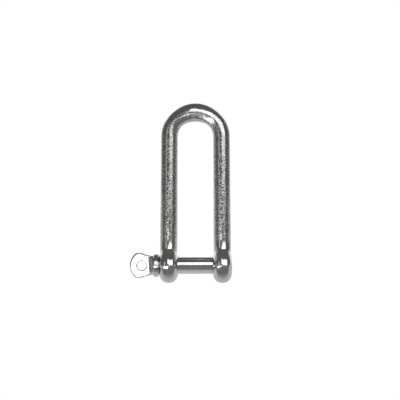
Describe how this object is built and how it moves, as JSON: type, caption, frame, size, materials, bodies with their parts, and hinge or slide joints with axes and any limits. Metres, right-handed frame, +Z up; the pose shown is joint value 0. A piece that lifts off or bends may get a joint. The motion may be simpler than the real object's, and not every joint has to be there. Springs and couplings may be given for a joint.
{
  "type": "long D shackle with screw pin",
  "caption": "Long D shackle of round stainless bar with two round ears and a screw pin that ends in a flat pierced eye.",
  "frame": {"origin": "on the pin's axis, midway between the two ears", "axes": "+X along the pin from its eye to its thread, +Z up the legs to the crown of the bow, Y square to the shackle's plane"},
  "size_m": [0.0357, 0.0122, 0.0627],
  "materials": {
    "satin_stainless": "satin",
    "bright_stainless": "polished",
    "core_steel": "plain"
  },
  "bodies": {
    "shackle": {"shackle_body": "satin_stainless"},
    "pin_travel": {"pin_core": "core_steel"},
    "pin": {"screw_pin": "bright_stainless"}
  },
  "joints": [
    {"name": "pin_withdraw", "type": "slide", "parent": "shackle", "child": "pin_travel", "axis": [-1, 0, 0], "range_m": [0, 0.02775]},
    {"name": "pin_turn", "type": "hinge", "parent": "pin_travel", "child": "pin", "pos_m": [0, 0, 0], "axis": [-1, 0, 0], "range_deg": [0, 9991]}
  ],
  "couplings": [
    {"joint": "pin_turn", "follows": "pin_withdraw", "rad_per_m": 6283.2}
  ]
}
